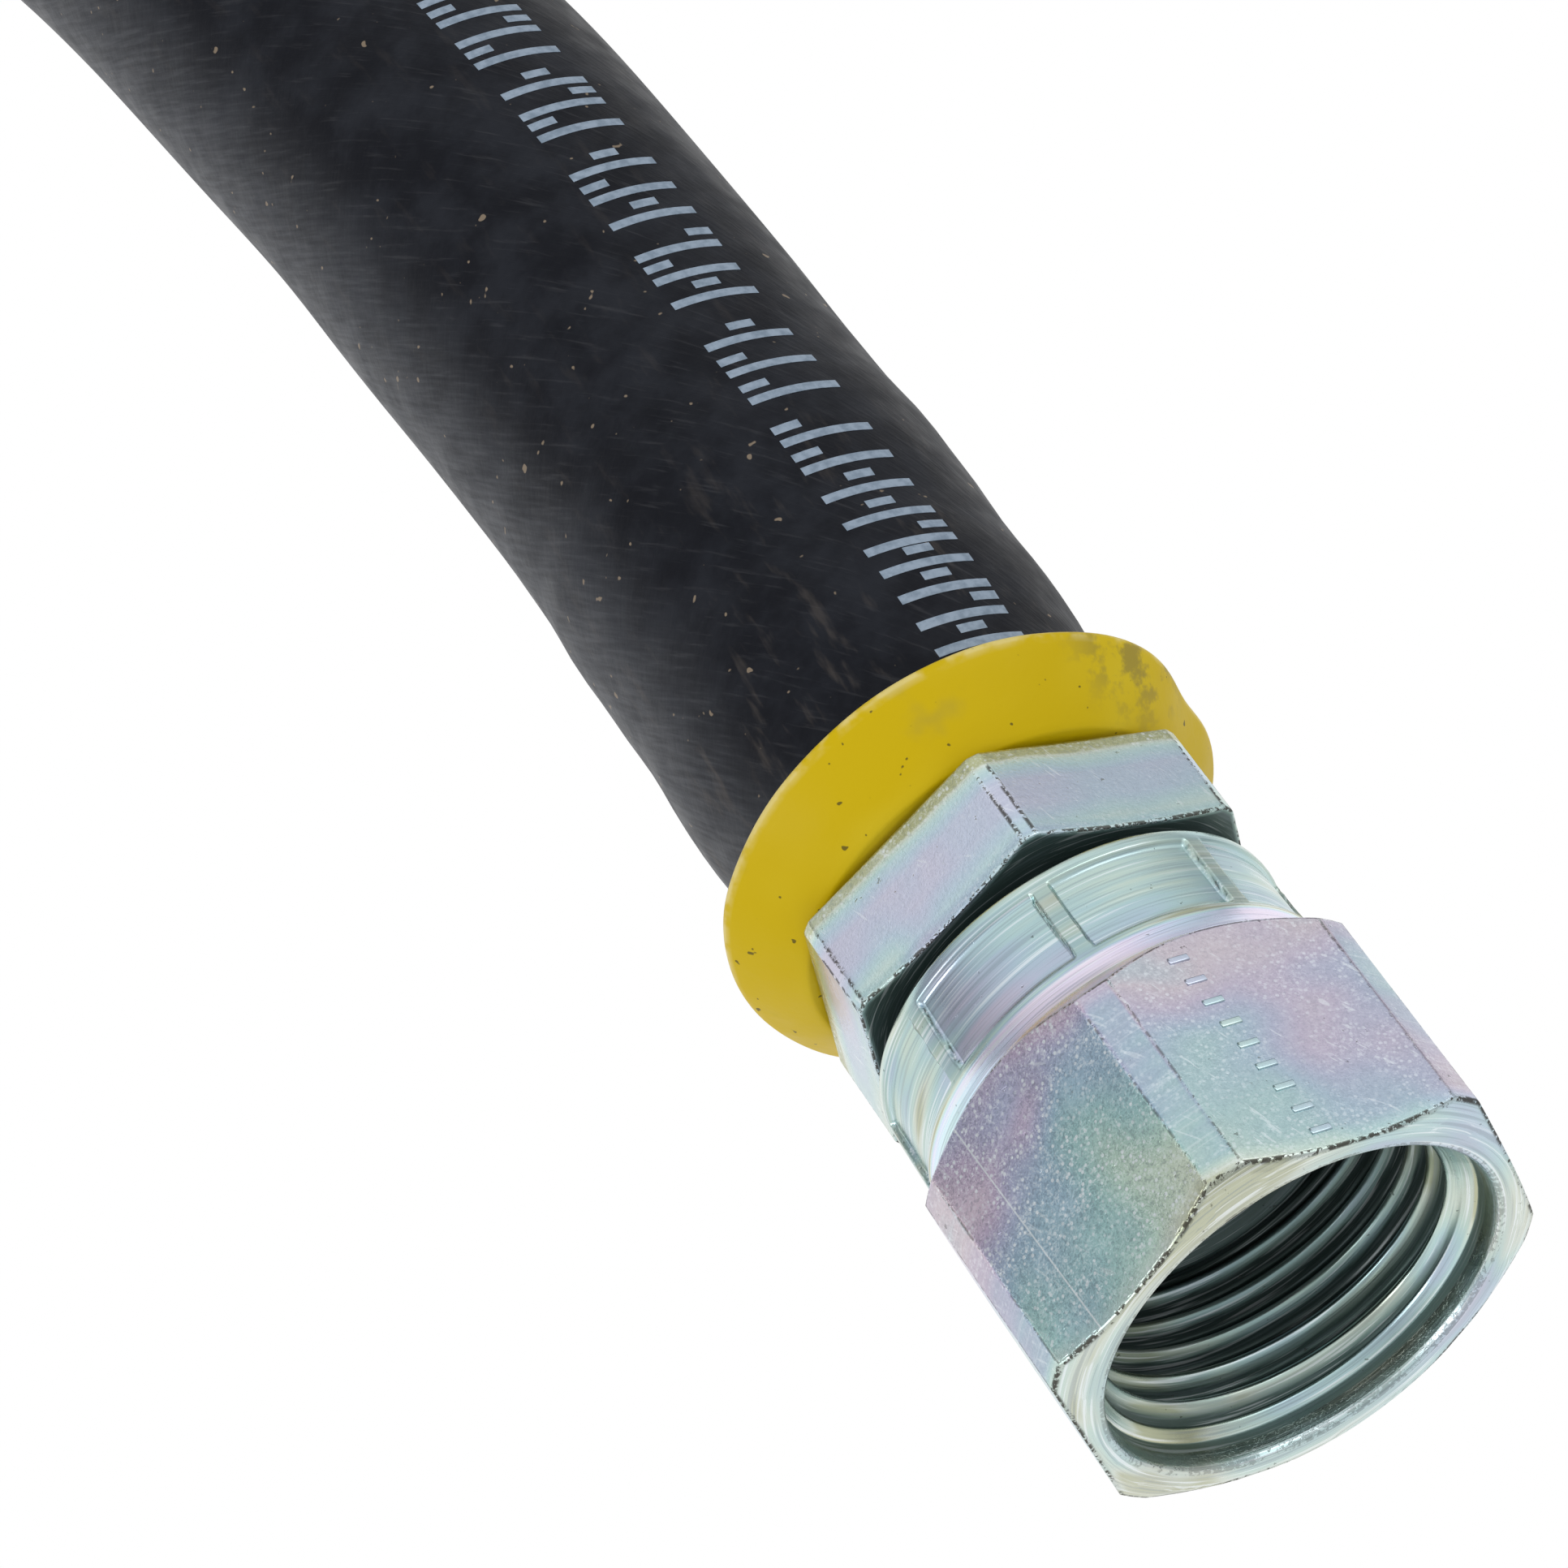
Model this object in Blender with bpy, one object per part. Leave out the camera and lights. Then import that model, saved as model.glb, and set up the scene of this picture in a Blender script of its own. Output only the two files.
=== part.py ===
"""Push-on hydraulic hose assembly: a rubber hose with a barbed swivel fitting at each end.

Metres, +Z up. The near fitting's axis runs along Y with its mouth facing -Y, and the whole
assembly lies on the plane z = 0. The hose leaves the near fitting towards +Y, turns back in one
wide bend towards -X, and ends in an identical far fitting that also faces -Y.

A fitting is drawn in its own frame: the local Y is its axis, y = 0 is the nut's open face, and y
grows towards the hose. Lengths below are in millimetres and MM turns them into metres.
"""

import math

import bmesh
import bpy
import numpy as np
from mathutils import Vector

MM = 0.001
GAP = 0.3                      # clearance kept between neighbouring pieces

# Swivel nut: 7/8 in hexagon, 3/4-16 thread for a 37 degree flared connection of size 8
NUT_AF = 22.225                # across flats
NUT_CORNER_R = 12.365          # the turned corners
NUT_HEX_END = 12.1             # hexagon's rear corners
NUT_LENGTH = 20.1
NUT_CHAMFER = 0.65
THREAD_MINOR_R = 8.7
MOUTH_R = 9.84                 # countersunk lip around the thread
THREAD_END = 10.2
RELIEF_R = 9.3
BAND_R = 10.95                 # turned band between hexagon and crimped collar
BAND_START = 13.4
COLLAR_R = 10.5
COLLAR_REAR_R = 10.2
COLLAR_BORE_R = 7.4
PADS = 8                       # flats that the crimping jaws pressed into the collar
PAD_START = 15.05
PAD_END = 19.4
PAD_R = 10.2
RIB_WIDTH = 0.95               # raised rib left between two jaws

# Barbed stem: seat, neck, hexagon and barbs, machined in one piece
SEAT_FACE = 9.6                # front of the flared seat, inside the nut
SEAT_R = 8.3
SEAT_LIP_R = 7.8
SEAT_ANGLE = math.radians(37)
STEM_BORE_R = 4.75
SEAT_SHOULDER = 14.4           # back shoulder that the nut's collar pulls on
NECK_R = 7.05
BODY_AF = 19.5
BODY_CORNER_R = 11.07
BODY_START = 21.2
BODY_END = 26.95
BODY_CHAMFER = 0.3
BARB_COUNT = 4
BARB_PITCH = 5.6
BARB_START = 29.8
BARB_ROOT_R = 6.3
BARB_TIP_R = 7.1
STEM_END = 53.0

# Soft cap ring that covers the cut end of the hose
RING_R = 12.8
RING_REAR = 31.2
RING_HOLE_R = 7.4
HOSE_END = 29.2                # where the hose's cut end stops, inside the ring
HOSE_SOCKET_R = 10.8

# Hose layers, from the inside out: (inner radius, outer radius) free and over the barbs
LAYERS = {
    "hose_inner_tube": ((6.35, 8.0), (7.55, 8.2)),
    "hose_braid": ((8.35, 8.85), (8.55, 9.0)),
    "hose_cover": ((9.2, 10.2), (9.35, 10.4)),
}
BARBED_LENGTH = 24.0           # hose length that sits over the barbs
SWELL_END = 36.0               # where the hose is back at its free size
TUBE_SIDES = 16
TUBE_STEP = 21.0               # about one hose diameter between two stations

# Fittings in the world
FITTING_MIDDLE = STEM_END / 2  # the near fitting's middle is at the origin
AXIS_HEIGHT = RING_R           # both cap rings rest on z = 0
NEAR_NUT_TURN = -20.7          # degrees from +Z to a corner or rib, towards +X
NEAR_BODY_TURN = -10.8
NEAR_RIB_TURN = -16.0
FAR_NUT_TURN = 8.0
FAR_BODY_TURN = 22.0
FAR_RIB_TURN = 4.0

# The hose's route between its two cut ends, in metres, chosen point by point
ROUTE = [
    (0.0000, 0.0027, 0.0128),
    (0.0000, 0.0150, 0.0128),
    (0.0000, 0.0270, 0.0128),
    (-0.0001, 0.0380, 0.0127),
    (-0.0010, 0.0560, 0.0124),
    (-0.0031, 0.0760, 0.0118),
    (-0.0070, 0.0980, 0.0110),
    (-0.0142, 0.1240, 0.0105),
    (-0.0282, 0.1500, 0.0103),
    (-0.0655, 0.1866, 0.0103),
    (-0.1146, 0.2068, 0.0103),
    (-0.1680, 0.2068, 0.0103),
    (-0.2171, 0.1864, 0.0103),
    (-0.2544, 0.1490, 0.0105),
    (-0.2680, 0.1240, 0.0108),
    (-0.2754, 0.0985, 0.0114),
    (-0.2790, 0.0790, 0.0121),
    (-0.2806, 0.0610, 0.0127),
    (-0.2808, 0.0480, 0.0128),
    (-0.2808, 0.0360, 0.0128),
    (-0.2808, 0.0235, 0.0128),
]

ZINC = ((0.66, 0.70, 0.72, 1), 0.28, 1.0)
YELLOW = ((0.80, 0.66, 0.02, 1), 0.42, 0.0)
RUBBER = ((0.018, 0.020, 0.025, 1), 0.55, 0.0)
TUBE_RUBBER = ((0.012, 0.012, 0.013, 1), 0.70, 0.0)
TEXTILE = ((0.55, 0.52, 0.45, 1), 0.85, 0.0)


def clear_scene():
    for item in list(bpy.data.objects):
        bpy.data.objects.remove(item, do_unlink=True)


def material(name, look):
    colour, roughness, metallic = look
    made = bpy.data.materials.new(name)
    made.use_nodes = True
    shader = made.node_tree.nodes["Principled BSDF"]
    shader.inputs["Base Color"].default_value = colour
    shader.inputs["Roughness"].default_value = roughness
    shader.inputs["Metallic"].default_value = metallic
    return made


def add_object(name, mesh_edit, look=None):
    """Make an object from a bmesh; one with no look is a cutter and stays out of the model."""
    bmesh.ops.recalc_face_normals(mesh_edit, faces=mesh_edit.faces)
    mesh = bpy.data.meshes.new(name)
    mesh_edit.to_mesh(mesh)
    mesh_edit.free()
    made = bpy.data.objects.new(name, mesh)
    bpy.context.scene.collection.objects.link(made)
    if look is None:
        made.hide_render = True
        made.display_type = "WIRE"
    else:
        mesh.materials.append(material(name, look))
        mesh.shade_smooth()
        mesh.set_sharp_from_angle(angle=math.radians(35))
    return made


def around(radius, y, degrees):
    """A point at a radius and an angle from +Z towards +X, in a fitting's frame."""
    angle = math.radians(degrees)
    return Vector((radius * math.sin(angle), y, radius * math.cos(angle))) * MM


def turned(profile, segments, turn):
    """Spin a closed (y, r) profile round the local Y axis."""
    mesh_edit = bmesh.new()
    corners = [mesh_edit.verts.new(around(r, y, turn)) for y, r in profile]
    edges = [mesh_edit.edges.new((a, b)) for a, b in zip(corners, corners[1:] + corners[:1])]
    bmesh.ops.spin(
        mesh_edit,
        geom=corners + edges,
        cent=(0, 0, 0),
        axis=(0, 1, 0),
        angle=math.tau,
        steps=segments,
        use_duplicate=False,
    )
    bmesh.ops.remove_doubles(mesh_edit, verts=mesh_edit.verts, dist=1e-6)
    return mesh_edit


def hex_sleeve(across_flats, outer_radius, start, end, turn):
    """A hexagonal hole in a thick hexagonal sleeve: the cutter that leaves six flats."""
    mesh_edit = bmesh.new()
    hole_radius = across_flats / 2 / math.cos(math.pi / 6)
    rings = []
    section = ((hole_radius, start), (hole_radius, end), (outer_radius, end), (outer_radius, start))
    for radius, y in section:
        rings.append([mesh_edit.verts.new(around(radius, y, turn + 60 * k)) for k in range(6)])
    for ring, following in zip(rings, rings[1:] + rings[:1]):
        for k in range(6):
            nearby = (k + 1) % 6
            mesh_edit.faces.new((ring[k], ring[nearby], following[nearby], following[k]))
    return mesh_edit


def jaw_marks(turn):
    """The eight arched blocks that the crimping jaws pressed away, with ribs left between them."""
    mesh_edit = bmesh.new()
    pitch = 360 / PADS
    half_rib = math.degrees(RIB_WIDTH / 2 / COLLAR_R)
    outside = COLLAR_R + 2
    steps = 4
    for pad in range(PADS):
        first = turn + pad * pitch + half_rib
        sweep = pitch - 2 * half_rib
        slices = []
        for step in range(steps + 1):
            degrees = first + sweep * step / steps
            corners = ((PAD_R, PAD_START), (PAD_R, PAD_END), (outside, PAD_END), (outside, PAD_START))
            slices.append([mesh_edit.verts.new(around(r, y, degrees)) for r, y in corners])
        for here, following in zip(slices, slices[1:]):
            for k in range(4):
                nearby = (k + 1) % 4
                mesh_edit.faces.new((here[k], here[nearby], following[nearby], following[k]))
        mesh_edit.faces.new(slices[0])
        mesh_edit.faces.new(reversed(slices[-1]))
    return mesh_edit


def cut(target, cutter):
    cutter.parent = target.parent
    boolean = target.modifiers.new(cutter.name, "BOOLEAN")
    boolean.operation = "DIFFERENCE"
    boolean.solver = "EXACT"
    boolean.object = cutter


def nut_profile():
    flat_r = NUT_AF / 2
    shoulder = SEAT_SHOULDER + 0.5
    lean = RELIEF_R - COLLAR_BORE_R
    return [
        (0, MOUTH_R),
        (0, flat_r),
        (NUT_CHAMFER, NUT_CORNER_R),
        (NUT_HEX_END, NUT_CORNER_R),
        (BAND_START, BAND_R),
        (PAD_START, COLLAR_R),
        (NUT_LENGTH - 0.4, COLLAR_R),
        (NUT_LENGTH, COLLAR_REAR_R),
        (NUT_LENGTH, COLLAR_BORE_R),
        (shoulder + lean - 1, COLLAR_BORE_R),
        (shoulder - 1, RELIEF_R),
        (THREAD_END, RELIEF_R),
        (THREAD_END - 0.4, THREAD_MINOR_R),
        (1.3, THREAD_MINOR_R),
    ]


def barb_profile():
    """Saw-tooth barbs, each rising towards the stem's hexagon and dropping steeply behind it."""
    points = []
    for barb in range(BARB_COUNT):
        start = BARB_START + barb * BARB_PITCH
        points += [(start, BARB_ROOT_R), (start + 0.5, BARB_TIP_R), (start + 0.9, BARB_TIP_R)]
    return points + [(STEM_END, BARB_ROOT_R - 0.5)]


def stem_profile():
    seat_depth = (SEAT_LIP_R - STEM_BORE_R) / math.tan(SEAT_ANGLE)
    body_flat_r = BODY_AF / 2
    return [
        (SEAT_FACE, SEAT_LIP_R),
        (SEAT_FACE + 0.3, SEAT_R),
        (SEAT_SHOULDER, SEAT_R),
        (SEAT_SHOULDER + SEAT_R - NECK_R, NECK_R),
        (BODY_START, NECK_R),
        (BODY_START, body_flat_r),
        (BODY_START + BODY_CHAMFER, BODY_CORNER_R),
        (BODY_END - BODY_CHAMFER, BODY_CORNER_R),
        (BODY_END, body_flat_r),
        (BODY_END, NECK_R),
        (BARB_START - 0.6, NECK_R),
        *barb_profile(),
        (STEM_END, STEM_BORE_R),
        (SEAT_FACE + seat_depth, STEM_BORE_R),
    ]


def ring_profile():
    front = BODY_END + GAP
    return [
        (front, RING_HOLE_R),
        (front, 10.3),
        (front + 0.4, 10.8),
        (RING_REAR - 1.4, 12.55),
        (RING_REAR - 1.0, RING_R),
        (RING_REAR - 0.4, RING_R - 0.15),
        (RING_REAR, RING_R - 0.7),
        (RING_REAR, HOSE_SOCKET_R),
        (HOSE_END - GAP, HOSE_SOCKET_R),
        (HOSE_END - GAP, RING_HOLE_R),
    ]


def fitting(side, hose_end_point, nut_turn, body_turn, rib_turn):
    """A swivel nut, a barbed stem and a cap ring on one axis along Y."""
    place = bpy.data.objects.new(side + "_fitting", None)
    bpy.context.scene.collection.objects.link(place)
    place.location = Vector(hose_end_point) - Vector((0, HOSE_END * MM, 0))

    nut = add_object(side + "_swivel_nut", turned(nut_profile(), 48, nut_turn), ZINC)
    nut.parent = place
    hex_cut = hex_sleeve(NUT_AF, 30, -1, BAND_START, nut_turn)
    cut(nut, add_object(side + "_nut_flats", hex_cut))
    cut(nut, add_object(side + "_jaw_marks", jaw_marks(rib_turn)))

    stem = add_object(side + "_barbed_stem", turned(stem_profile(), 24, body_turn), ZINC)
    stem.parent = place
    body_cut = hex_sleeve(BODY_AF, 30, BODY_START - 1, BODY_END + 1, body_turn)
    cut(stem, add_object(side + "_body_flats", body_cut))

    ring = add_object(side + "_cap_ring", turned(ring_profile(), 36, 0), YELLOW)
    ring.parent = place


def spline_through(points):
    """Natural cubic spline through the points, as a function of a 0 to 1 parameter."""
    knots = np.array(points)
    chords = np.linalg.norm(np.diff(knots, axis=0), axis=1)
    at = np.concatenate(([0.0], np.cumsum(chords)))
    count = len(at)
    system = np.eye(count)
    target = np.zeros((count, 3))
    for i in range(1, count - 1):
        before, after = at[i] - at[i - 1], at[i + 1] - at[i]
        system[i, i - 1:i + 2] = (before, 2 * (before + after), after)
        slope_change = (knots[i + 1] - knots[i]) / after - (knots[i] - knots[i - 1]) / before
        target[i] = 6 * slope_change
    second = np.linalg.solve(system, target)

    def point(parameter):
        s = parameter * at[-1]
        i = min(max(int(np.searchsorted(at, s)) - 1, 0), count - 2)
        span = at[i + 1] - at[i]
        a, b = (at[i + 1] - s) / span, (s - at[i]) / span
        bend = ((a ** 3 - a) * second[i] + (b ** 3 - b) * second[i + 1]) * span * span / 6
        return a * knots[i] + b * knots[i + 1] + bend

    return point


def even_stations(points, step):
    """Points along the smooth route at equal distances, with their distance from the start."""
    curve = spline_through(points)
    fine = np.array([curve(t) for t in np.linspace(0, 1, 2001)])
    walked = np.concatenate(([0.0], np.cumsum(np.linalg.norm(np.diff(fine, axis=0), axis=1))))
    length = walked[-1]
    count = round(length / step)
    distances = list(np.linspace(0, length, count + 1))
    # extra stations where the hose goes from its swollen size to its free size
    for mark in (BARBED_LENGTH * MM, SWELL_END * MM):
        distances += [mark, length - mark]
    distances = sorted(distances)
    kept = [distances[0]]
    for distance in distances[1:]:
        if distance - kept[-1] > step / 4:
            kept.append(distance)
    kept[-1] = length
    places = [Vector([np.interp(d, walked, fine[:, axis]) for axis in range(3)]) for d in kept]
    return places, kept, length


def layer_radius(free, barbed, distance, length):
    """A layer's radius: larger over the barbs at each end, easing down to its free size."""
    from_end = min(distance, length - distance) / MM
    ease = min(max((from_end - BARBED_LENGTH) / (SWELL_END - BARBED_LENGTH), 0), 1)
    return (barbed + (free - barbed) * ease) * MM


def hose_layer(name, free, barbed, look):
    places, distances, length = even_stations(ROUTE, TUBE_STEP * MM)
    mesh_edit = bmesh.new()
    walls = []
    for kind in (0, 1):
        rings = []
        for i, place in enumerate(places):
            ahead = places[min(i + 1, len(places) - 1)] - places[max(i - 1, 0)]
            if i in (0, len(places) - 1):
                ahead = Vector((0, 1 if i == 0 else -1, 0))
            along = ahead.normalized()
            side = along.cross(Vector((0, 0, 1))).normalized()
            rise = side.cross(along)
            radius = layer_radius(free[kind], barbed[kind], distances[i], length)
            ring = []
            for k in range(TUBE_SIDES):
                angle = math.tau * (k + 0.5) / TUBE_SIDES
                offset = (side * math.cos(angle) + rise * math.sin(angle)) * radius
                ring.append(mesh_edit.verts.new(place + offset))
            rings.append(ring)
        walls.append(rings)
    for rings in walls:
        for ring, following in zip(rings, rings[1:]):
            bridge(mesh_edit, ring, following)
    for end in (0, -1):
        bridge(mesh_edit, walls[0][end], walls[1][end])
    return add_object(name, mesh_edit, look)


def bridge(mesh_edit, ring, following):
    for k in range(TUBE_SIDES):
        nearby = (k + 1) % TUBE_SIDES
        mesh_edit.faces.new((ring[k], ring[nearby], following[nearby], following[k]))


def hose():
    looks = {"hose_inner_tube": TUBE_RUBBER, "hose_braid": TEXTILE, "hose_cover": RUBBER}
    for name, (free, barbed) in LAYERS.items():
        hose_layer(name, free, barbed, looks[name])


clear_scene()
fitting("near", ROUTE[0], NEAR_NUT_TURN, NEAR_BODY_TURN, NEAR_RIB_TURN)
fitting("far", ROUTE[-1], FAR_NUT_TURN, FAR_BODY_TURN, FAR_RIB_TURN)
hose()
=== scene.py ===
"""The looks of a push-on hydraulic hose assembly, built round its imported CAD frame.

A fitting is described in its own terms: s is the distance in millimetres from the nut's open
face towards the hose, r the distance from the fitting's axis, and an angle in degrees is measured
from +Z towards +X. The near fitting is the one that the camera sees. Materials count in metres.
"""

import math

import bpy
import numpy as np
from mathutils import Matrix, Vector


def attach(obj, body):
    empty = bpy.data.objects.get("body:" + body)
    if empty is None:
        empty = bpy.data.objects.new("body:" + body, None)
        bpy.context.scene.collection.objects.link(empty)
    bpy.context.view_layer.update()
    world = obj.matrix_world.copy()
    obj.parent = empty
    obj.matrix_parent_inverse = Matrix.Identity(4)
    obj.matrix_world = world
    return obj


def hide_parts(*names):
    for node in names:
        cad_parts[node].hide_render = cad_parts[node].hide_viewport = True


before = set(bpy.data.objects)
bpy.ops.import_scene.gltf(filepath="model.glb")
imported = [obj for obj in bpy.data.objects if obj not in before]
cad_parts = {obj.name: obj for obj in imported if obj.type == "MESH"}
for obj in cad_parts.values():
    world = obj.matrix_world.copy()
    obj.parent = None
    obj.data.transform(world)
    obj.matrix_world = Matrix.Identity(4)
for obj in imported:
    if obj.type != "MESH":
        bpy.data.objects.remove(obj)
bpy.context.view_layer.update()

MM = 0.001

# Fitting sizes in millimetres, as in the CAD, which has a plain bore in place of the thread
NUT_FLAT_R = 22.225 / 2
NUT_CORNER_R = 12.365
NUT_HEX_END = 12.1
NUT_LENGTH = 20.1
THREAD_PITCH = 25.4 / 16
THREAD_MINOR_R = 8.7
THREAD_MAJOR_R = 9.6
THREAD_END = 10.3
MOUTH_R = 9.84
BODY_FLAT_R = 19.5 / 2
BODY_CORNER_R = 11.07
BODY_START = 21.2
BODY_END = 26.95
SEAT_FACE = 9.6
STEM_BORE_R = 4.75
NECK_R = 7.05
COLLAR_BORE_R = 7.4
RELIEF_R = 9.35                # bore behind the thread, a little wider than in the CAD
COUNTERSINK_START = 1.6
COUNTERSINK_R = 9.70
BARB_COUNT = 4
BARB_PITCH = 5.6
BARB_START = 29.8
HOSE_END = 29.2
RIB_COUNT = 8
PAD_DEPTH = 0.28               # how far the crimping jaws pressed the collar in
NUT_STRIP = 4.0                # half the width of a turned corner, in degrees
BODY_STRIP = 1.75
FRONT_PAINTED_SHADE = 0.92              # painted shade: how much darker the nut's front ring is coloured, dimming its highlight
BAND_PAINTED_HIGHLIGHT = 1.42               # painted highlight: how much lighter the turned band is coloured than the plating elsewhere
HOSE_R = 10.2
HOSE_SWOLLEN_R = 10.4

# Degrees from +Z towards +X to a corner or a rib, as in the CAD: (nut, body, rib)
TURNS = {"near": (-20.7, -10.8, -16.0), "far": (8.0, 22.0, 4.0)}

# The hose's route between its two cut ends, the same points as in the CAD
ROUTE = [
    (0.0000, 0.0027, 0.0128),
    (0.0000, 0.0150, 0.0128),
    (0.0000, 0.0270, 0.0128),
    (-0.0001, 0.0380, 0.0127),
    (-0.0010, 0.0560, 0.0124),
    (-0.0031, 0.0760, 0.0118),
    (-0.0070, 0.0980, 0.0110),
    (-0.0142, 0.1240, 0.0105),
    (-0.0282, 0.1500, 0.0103),
    (-0.0655, 0.1866, 0.0103),
    (-0.1146, 0.2068, 0.0103),
    (-0.1680, 0.2068, 0.0103),
    (-0.2171, 0.1864, 0.0103),
    (-0.2544, 0.1490, 0.0105),
    (-0.2680, 0.1240, 0.0108),
    (-0.2754, 0.0985, 0.0114),
    (-0.2790, 0.0790, 0.0121),
    (-0.2806, 0.0610, 0.0127),
    (-0.2808, 0.0480, 0.0128),
    (-0.2808, 0.0360, 0.0128),
    (-0.2808, 0.0235, 0.0128),
]

# Camera: what it aims at, where it stands from there, and its lens
AIM = (-0.00575, 0.01145, 0.0128)
VIEW_HEADING = 27.69           # degrees from +Y towards +X
VIEW_DOWN = 48.14
VIEW_DISTANCE = 0.29204
LENS_MM = 142.8
SENSOR_MM = 36.0

# The room's brightness at two heights of the direction that is looked in (0 level, 1 straight up)
HORIZON = (0.10, 0.44)
SKY = (0.60, 0.98)


# ---------------------------------------------------------------- numbers and curves


def smooth(value, low, high):
    t = np.clip((value - low) / (high - low), 0, 1)
    return t * t * (3 - 2 * t)


def softer_min(a, b, width):
    """The smaller of two lengths, rounded over about width where they cross."""
    return a - width * np.log1p(np.exp(np.minimum((a - b) / width, 500)))


def hump(value, middle, width):
    """A bell curve that is 1 at middle."""
    return np.exp(-(((value - middle) / width) ** 2))


def folded(angles, step):
    """Signed distance in degrees from each angle to the nearest multiple of step."""
    return (angles + step / 2) % step - step / 2


def spline_through(points):
    """Natural cubic spline through the points, as a function of a 0 to 1 parameter."""
    knots = np.array(points)
    chords = np.linalg.norm(np.diff(knots, axis=0), axis=1)
    at = np.concatenate(([0.0], np.cumsum(chords)))
    count = len(at)
    system = np.eye(count)
    target = np.zeros((count, 3))
    for i in range(1, count - 1):
        before, after = at[i] - at[i - 1], at[i + 1] - at[i]
        system[i, i - 1:i + 2] = (before, 2 * (before + after), after)
        slope_change = (knots[i + 1] - knots[i]) / after - (knots[i] - knots[i - 1]) / before
        target[i] = 6 * slope_change
    second = np.linalg.solve(system, target)

    def point(parameter):
        s = parameter * at[-1]
        i = min(max(int(np.searchsorted(at, s)) - 1, 0), count - 2)
        span = at[i + 1] - at[i]
        a, b = (at[i + 1] - s) / span, (s - at[i]) / span
        bend = ((a ** 3 - a) * second[i] + (b ** 3 - b) * second[i + 1]) * span * span / 6
        return a * knots[i] + b * knots[i + 1] + bend

    return point


class HoseLine:
    """The hose's centreline with a steady frame, read at any distance from its near end."""

    def __init__(self, points):
        curve = spline_through(points)
        self.fine = np.array([curve(t) for t in np.linspace(0, 1, 3001)])
        steps = np.linalg.norm(np.diff(self.fine, axis=0), axis=1)
        self.walked = np.concatenate(([0.0], np.cumsum(steps)))
        self.length = self.walked[-1]

    def at(self, distance):
        return np.array([np.interp(distance, self.walked, self.fine[:, k]) for k in range(3)])

    def frames(self, distances):
        """Centres, sideways and upward unit vectors. Sideways is +X where the hose runs along +Y."""
        reach = 0.0015
        centres = np.array([self.at(d) for d in distances])
        ahead = np.array([self.at(d + reach) - self.at(d - reach) for d in distances])
        along = ahead / np.linalg.norm(ahead, axis=1)[:, None]
        side = np.cross(along, (0, 0, 1))
        side /= np.linalg.norm(side, axis=1)[:, None]
        rise = np.cross(side, along)
        return centres, side, rise


# ---------------------------------------------------------------- meshes


def broad_normals(mesh):
    """Vertex normals that follow the widest faces, so that flats stay flat and only fillets turn."""
    count = len(mesh.polygons)
    direction, area = np.empty(count * 3), np.empty(count)
    mesh.polygons.foreach_get("normal", direction)
    mesh.polygons.foreach_get("area", area)
    loops, sides = np.empty(len(mesh.loops), int), np.empty(count, int)
    mesh.loops.foreach_get("vertex_index", loops)
    mesh.polygons.foreach_get("loop_total", sides)
    weighted = np.repeat(direction.reshape(-1, 3) * area[:, None], sides, axis=0)
    total = np.zeros((len(mesh.vertices), 3))
    np.add.at(total, loops, weighted)
    return total / np.maximum(np.linalg.norm(total, axis=1), 1e-20)[:, None]


def make_object(name, vertices, faces, look, attributes=None, sharp=None):
    mesh = bpy.data.meshes.new(name)
    mesh.from_pydata([tuple(v) for v in vertices], [], faces)
    mesh.validate()
    for key, values in (attributes or {}).items():
        values = np.asarray(values, np.float32)
        if values.ndim == 1:
            mesh.attributes.new(key, "FLOAT", "POINT").data.foreach_set("value", values)
        else:
            mesh.attributes.new(key, "FLOAT_VECTOR", "POINT").data.foreach_set("vector", values.ravel())
    mesh.shade_smooth()
    if sharp:
        mesh.set_sharp_from_angle(angle=math.radians(sharp))
    else:
        mesh.normals_split_custom_set_from_vertices(broad_normals(mesh))
    made = bpy.data.objects.new(name, mesh)
    made.data.materials.append(look)
    bpy.context.scene.collection.objects.link(made)
    return made


class Lathe:
    """A closed body swept round a fitting's axis from rows of (s, r) that may vary with the angle.

    Each row is one loop round the axis. Rows run from the mouth over the outside to the rear and
    back through the bore, and the last row joins the first. Each row also tells the material how
    much it is turned on the lathe (else drawn bar), how worn it is, how much painted shade it gets
    in a recess, where its film colour lies on the ramp, how grainy its skin is and how far painted
    light and shade lighten or darken its plating.
    """

    def __init__(self, angles):
        self.angles = np.asarray(angles, float)
        self.table = []

    def row(self, s, r, turned=1.0, wear=0.0, recess=0.0, film=0.5, grain=0.4, tone=1.0):
        ones = np.ones_like(self.angles)
        self.table.append([value * ones for value in (s, r, turned, wear, recess, film, grain, tone)])

    def rows(self, *pairs, **manner):
        for s, r in pairs:
            self.row(s, r, **manner)

    def build(self, name, place, look):
        s, r, turned, wear, recess, film, grain, tone = np.moveaxis(np.array(self.table), 1, 0)
        s, r = s * MM, r * MM
        angle = np.radians(self.angles)[None, :] * np.ones_like(s)
        x0, y0, z0 = place
        points = np.stack([x0 + r * np.sin(angle), y0 + s, z0 + r * np.cos(angle)], -1).reshape(-1, 3)
        rows, columns = s.shape
        index = np.arange(rows * columns).reshape(rows, columns)
        below, right = np.roll(index, -1, 0), np.roll(index, -1, 1)
        corner = np.roll(below, -1, 1)
        faces = np.stack([index, right, corner, below], -1).reshape(-1, 4).tolist()
        # the way round, counted on both sides from one hidden line so that it has no jump
        around = np.radians(np.abs(folded(self.angles - 60, 360)))[None, :] * r
        attributes = {
            "lathe": np.stack([s, r, around], -1).reshape(-1, 3),
            "turned": turned.ravel(),
            "wear": wear.ravel(),
            "recess": recess.ravel(),
            "film": film.ravel(),
            "grain": grain.ravel(),
            "tone": tone.ravel(),
        }
        return make_object(name, points, faces, look, attributes)


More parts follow.
